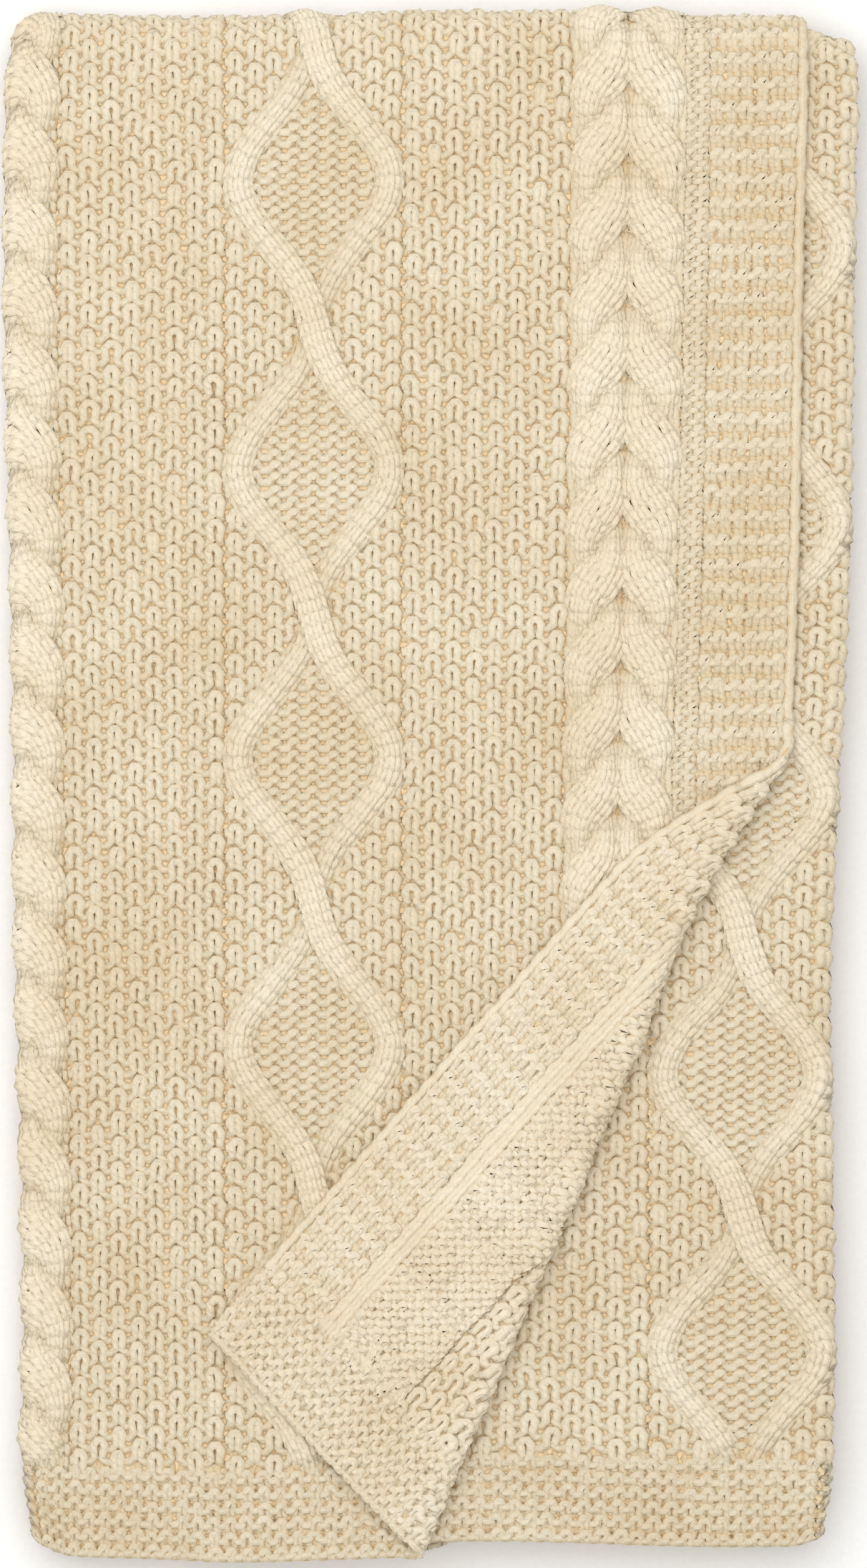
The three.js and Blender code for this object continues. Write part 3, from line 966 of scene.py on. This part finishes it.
def core_material(colours):
    """Matted fibre deep between the loops, in a tan painted shade where light has lost its
    blue.
    """
    material, tree, shader = new_material("Matted fibre in painted shade")
    place = node(tree, "ShaderNodeTexCoord").outputs["Object"]
    fibre = node(tree, "ShaderNodeTexNoise", Vector=place, Scale=500.0, Detail=3.0)
    # Noise mottles the tan painted shade of the hollows with the yarn colour
    colour = ramp(tree, fibre.outputs["Fac"], [
        (0.3, linear(colours.painted_hollow_shade)), (0.75, linear(colours.yarn))])
    tree.links.new(colour, shader.inputs["Base Color"])
    shader.inputs["Roughness"].default_value = 0.95
    shader.inputs["Specular IOR Level"].default_value = 0.1
    bumped(tree, shader, 0.7, 0.001, fibre.outputs["Fac"])
    return material


def tape_material():
    """Woven cotton tape: fine crossing threads about 0.4 mm apart."""
    material, tree, shader = new_material("Woven cotton tape")
    place = node(tree, "ShaderNodeTexCoord").outputs["Object"]
    weave = node(tree, "ShaderNodeTexWave", {"bands_direction": "Y"}, Vector=place,
                 Scale=400.0, Distortion=1.0)
    colour = ramp(tree, weave.outputs["Fac"], [
        (0.2, linear("#E4DFD3")), (0.8, linear("#F7F4EC"))])
    tree.links.new(colour, shader.inputs["Base Color"])
    shader.inputs["Roughness"].default_value = 0.8
    bumped(tree, shader, 0.4, 0.0003, weave.outputs["Fac"])
    return material


def floor_material():
    """Plain matt white board."""
    material, tree, shader = new_material("Matt white board")
    place = node(tree, "ShaderNodeTexCoord").outputs["Object"]
    grain = node(tree, "ShaderNodeTexNoise", Vector=place, Scale=300.0, Detail=2.0)
    colour = ramp(tree, grain.outputs["Fac"], [
        (0.3, linear("#FBFBFB")), (0.7, linear("#FFFFFF"))])
    tree.links.new(colour, shader.inputs["Base Color"])
    shader.inputs["Roughness"].default_value = 0.9
    return material


# What a user would change


class ThrowColours(bpy.types.PropertyGroup):
    yarn: bpy.props.StringProperty(
        name="Yarn", description="Colour of the yarn, sRGB hex", default="#EEE2C8")
    # Pale painted highlight on raised yarn and on the wrong side
    painted_highlight: bpy.props.StringProperty(
        name="Painted highlight", description="Colour of the painted highlight on raised yarn, sRGB hex",
        default="#FCF1DA")
    # Tan painted shade between the loops and on the middle sheet
    painted_hollow_shade: bpy.props.StringProperty(
        name="Hollow", description="Colour of the painted shade between the loops, sRGB hex",
        default="#EBCD9E")


class ThrowSizes(bpy.types.PropertyGroup):
    camera_height: bpy.props.FloatProperty(
        name="Camera height", description="Height of the camera over the floor",
        default=6.0, unit="LENGTH", subtype="DISTANCE")
    framed_length: bpy.props.FloatProperty(
        name="Framed length", description="Length of floor that the camera frames",
        default=0.8846, unit="LENGTH", subtype="DISTANCE")
    light_power: bpy.props.FloatProperty(
        name="Light power", description="Power of the large soft light over the throw",
        default=31.0, unit="POWER")


MATERIALS = {}
PATCHES = {}


def material_for(kind):
    """Each material is made once and shared."""
    if kind not in MATERIALS:
        colours = bpy.context.scene.throw_colours
        makers = {
            "yarn": lambda: knit_yarn_material(colours),
            "core": lambda: core_material(colours),
            "tape": tape_material,
            "floor": floor_material,
        }
        MATERIALS[kind] = makers[kind]()
    return MATERIALS[kind]


def all_patches():
    """The whole chart, knitted flat: name of the piece and its patches of yarn."""
    if not PATCHES:
        for index, band in enumerate(BANDS):
            PATCHES[band[0], index] = [
                patch for half in halves() for patch in knit_band(band, *half)
            ]
        PATCHES["hem", len(BANDS)] = hem_bands()
    return PATCHES


def leaf_of(index):
    """The leaf that a band of the chart lies in, for its name."""
    return "cover" if index < 7 else "base" if index < 12 else "tuck"


def knit_regions(wanted_region, half_name="", join=None):
    """All pieces of yarn in one region. Bands stay pieces of their own, unless they
    are joined under one name."""
    made = []
    yarn = material_for("yarn")
    if join:
        patches = [p for group in all_patches().values() for p in group]
        piece = knit_piece(join, patches, lambda p: p.where == wanted_region, yarn)
        return [piece] if piece else []
    for (name, index), patches in all_patches().items():
        label = f"{half_name}_{leaf_of(index)}_{name}_{index + 1}"
        if name == "hem":
            label = f"{half_name}_hems"
        piece = knit_piece(label, patches, lambda p: p.where == wanted_region, yarn)
        if piece:
            made.append(piece)
    return made


LEAVES = (
    "base_leaf", "base_hem", "tuck_leaf", "tuck_hem", "tuck_side_border", "left_fold",
    "right_fold", "cover_leaf", "cover_hem", "cover_side_border",
)


def lay_half(half_name, wanted_region):
    """One half of the throw: its stitches and its middle, on its own body."""
    body = f"{half_name}_half"
    stitched = knit_regions(wanted_region, half_name)
    core = core_piece(f"{half_name}_cloth", wanted_region, material_for("core"))
    for piece in stitched + [core]:
        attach(piece, body)
    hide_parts(*[f"{half_name}_{leaf}" for leaf in LEAVES])


class ThrowLowerHalf(bpy.types.Operator):
    """Knits the half that lies on the floor"""

    bl_idname = "throw.lower_half"
    bl_label = "Lower half"

    def execute(self, context):
        lay_half("lower", LOWER)
        return {"FINISHED"}


class ThrowUpperHalf(bpy.types.Operator):
    """Knits the half that lies on top, up to its turned-back corner"""

    bl_idname = "throw.upper_half"
    bl_label = "Upper half"

    def execute(self, context):
        lay_half("upper", UPPER)
        return {"FINISHED"}


class ThrowTopFolds(bpy.types.Operator):
    """Knits the bends that go round the half fold"""

    bl_idname = "throw.top_folds"
    bl_label = "Half fold"

    def execute(self, context):
        tuck_wide = CLOTH_WIDE - TUCK_FROM
        folds = (
            ("cover_top_fold", COVER_TOP, 0, COVER_WIDE, COVER_REACH,
             ("outer_top_fold", "left_corner_fold")),
            ("tuck_top_fold", TUCK_TOP, 1, tuck_wide, TUCK_REACH,
             ("middle_top_fold", "right_corner_fold", "inner_top_fold")),
        )
        for name, where, layer, wide, reach, nodes in folds:
            pieces = knit_regions(where, join=f"{name}_stitches")
            pieces.append(core_piece(name, where, material_for("core")))
            for piece in pieces:
                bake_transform(piece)
            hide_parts(*nodes)
        return {"FINISHED"}


class ThrowCorner(bpy.types.Operator):
    """Knits the turned-back corner and the soft roll along its crease"""

    bl_idname = "throw.corner"
    bl_label = "Turned-back corner"

    def execute(self, context):
        stitched = knit_regions(CREASE, join="crease_stitches")
        core = core_piece("crease_roll", CREASE, material_for("core"))
        for piece in stitched + [core]:
            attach(piece, "upper_half")
            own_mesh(piece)
        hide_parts("corner_crease")
        stitched = knit_regions(CORNER, "corner")
        core = core_piece("corner_cloth", CORNER, material_for("core"))
        for piece in stitched + [core]:
            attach(piece, "turned_corner")
        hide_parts("corner_field", "corner_side_border", "corner_hem")
        return {"FINISHED"}


def nothing_selected():
    bpy.ops.object.select_all(action="DESELECT")


class ThrowLabel(bpy.types.Operator):
    """Sews the plain care label into the lower cover leaf's side edge"""

    bl_idname = "throw.label"
    bl_label = "Care label"

    def execute(self, context):
        self.tape(context)
        self.thread(context)
        return {"FINISHED"}

    def tape(self, context):
        low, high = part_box("care_label")
        nothing_selected()
        bpy.ops.mesh.primitive_cube_add(size=1, location=(low + high) / 2, scale=high - low)
        label = context.object
        label.name = "woven_care_label"
        bpy.ops.object.mode_set(mode="EDIT")
        bpy.ops.mesh.select_all(action="SELECT")
        bpy.ops.mesh.subdivide(number_cuts=6)
        bpy.ops.object.mode_set(mode="OBJECT")
        for vertex in label.data.vertices:
            # The doubled tape is thicker at its folded outer end and curls a little
            out = (vertex.co.x + (high.x - low.x) / 2) / (high.x - low.x)
            along = vertex.co.y / (high.y - low.y)
            vertex.co.z *= 1 + 0.8 * out
            vertex.co.z += 0.0005 * out * out * math.sin(6 * along)
        bpy.ops.object.transform_apply(location=True, rotation=True, scale=True)
        bpy.ops.object.modifier_add(type="BEVEL")
        label.modifiers[-1].width = 0.0003
        bpy.ops.object.modifier_apply(modifier=label.modifiers[-1].name)
        bpy.ops.object.shade_smooth_by_angle(angle=math.radians(40))
        label.data.materials.append(material_for("tape"))
        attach(label, "lower_half")
        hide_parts("care_label")

    def thread(self, context):
        low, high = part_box("label_stitching")
        count = 9
        stride = (high.y - low.y) / count
        stitches_made = []
        for k in range(count):
            at = (low + high) / 2
            at.y = low.y + (k + 0.5) * (high.y - low.y) / count
            nothing_selected()
            bpy.ops.mesh.primitive_cylinder_add(
                vertices=8, radius=(high.z - low.z) / 2, depth=0.8 * stride,
                location=at, rotation=(math.pi / 2, 0, 0))
            context.object.data.materials.append(material_for("yarn"))
            stitches_made.append(context.object)
        nothing_selected()
        for piece in stitches_made:
            piece.select_set(True)
        context.view_layer.objects.active = stitches_made[0]
        bpy.ops.object.join()
        thread = context.object
        thread.name = "label_thread"
        bpy.ops.object.transform_apply(location=True, rotation=True, scale=True)
        bpy.ops.object.shade_smooth_by_angle(angle=math.radians(40))
        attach(thread, "lower_half")
        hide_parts("label_stitching")


class ThrowStage(bpy.types.Operator):
    """Sets the floor, the soft light and the camera straight above"""

    bl_idname = "throw.stage"
    bl_label = "Stage"

    def execute(self, context):
        sizes = context.scene.throw_sizes
        nothing_selected()
        bpy.ops.mesh.primitive_plane_add(size=12, location=(0, 0, 0))
        floor = context.object
        floor.name = "floor"
        bpy.ops.object.transform_apply(location=True, rotation=True, scale=True)
        floor.data.materials.append(material_for("floor"))
        world = bpy.data.worlds.new("Soft room")
        context.scene.world = world
        world.use_nodes = True
        back = world.node_tree.nodes["Background"]
        back.inputs["Color"].default_value = (1.0, 0.99, 0.97, 1)
        back.inputs["Strength"].default_value = 0.73
        self.light("Overhead softbox", (-0.3, 0.55, 2.3), 2.6, sizes.light_power)
        camera_data = bpy.data.cameras.new("Camera")
        camera = bpy.data.objects.new("Camera", camera_data)
        context.collection.objects.link(camera)
        top = CAD_BOX[1][2]
        camera.location = (0.0, 0.0, sizes.camera_height + top)
        camera_data.sensor_fit = "VERTICAL"
        camera_data.sensor_height = 36.0
        zoom = sizes.camera_height / sizes.framed_length
        camera_data.lens = camera_data.sensor_height * zoom
        camera_data.clip_end = 50
        context.scene.camera = camera
        context.scene.view_settings.view_transform = "Standard"
        return {"FINISHED"}

    def light(self, name, location, size, power):
        data = bpy.data.lights.new(name, "AREA")
        data.shape = "DISK"
        data.size = size
        data.energy = power
        lamp = bpy.data.objects.new(name, data)
        bpy.context.collection.objects.link(lamp)
        lamp.location = location
        aim = Vector((0, 0, 0)) - Vector(location)
        lamp.rotation_euler = aim.to_track_quat("-Z", "Y").to_euler()


class ThrowPanel(bpy.types.Panel):
    """Lists the throw's pieces"""

    bl_label = "Throw"
    bl_idname = "VIEW3D_PT_throw"
    bl_space_type = "VIEW_3D"
    bl_region_type = "UI"
    bl_category = "Throw"

    def draw(self, context):
        for group in (context.scene.throw_sizes, context.scene.throw_colours):
            for key in group.bl_rna.properties.keys():
                if key not in ("rna_type", "name"):
                    self.layout.prop(group, key)
        for operator in OPERATORS:
            self.layout.operator(operator.bl_idname)


OPERATORS = (
    ThrowLowerHalf, ThrowUpperHalf, ThrowTopFolds, ThrowCorner, ThrowLabel, ThrowStage,
)
CLASSES = (ThrowColours, ThrowSizes, *OPERATORS, ThrowPanel)


def register():
    for cls in CLASSES:
        bpy.utils.register_class(cls)
    bpy.types.Scene.throw_colours = bpy.props.PointerProperty(type=ThrowColours)
    bpy.types.Scene.throw_sizes = bpy.props.PointerProperty(type=ThrowSizes)


def unregister():
    del bpy.types.Scene.throw_sizes
    del bpy.types.Scene.throw_colours
    for cls in reversed(CLASSES):
        bpy.utils.unregister_class(cls)


def main():
    register()
    bpy.ops.throw.lower_half()
    bpy.ops.throw.upper_half()
    bpy.ops.throw.top_folds()
    bpy.ops.throw.corner()
    bpy.ops.throw.label()
    bpy.ops.throw.stage()


if __name__ == "__main__":
    main()
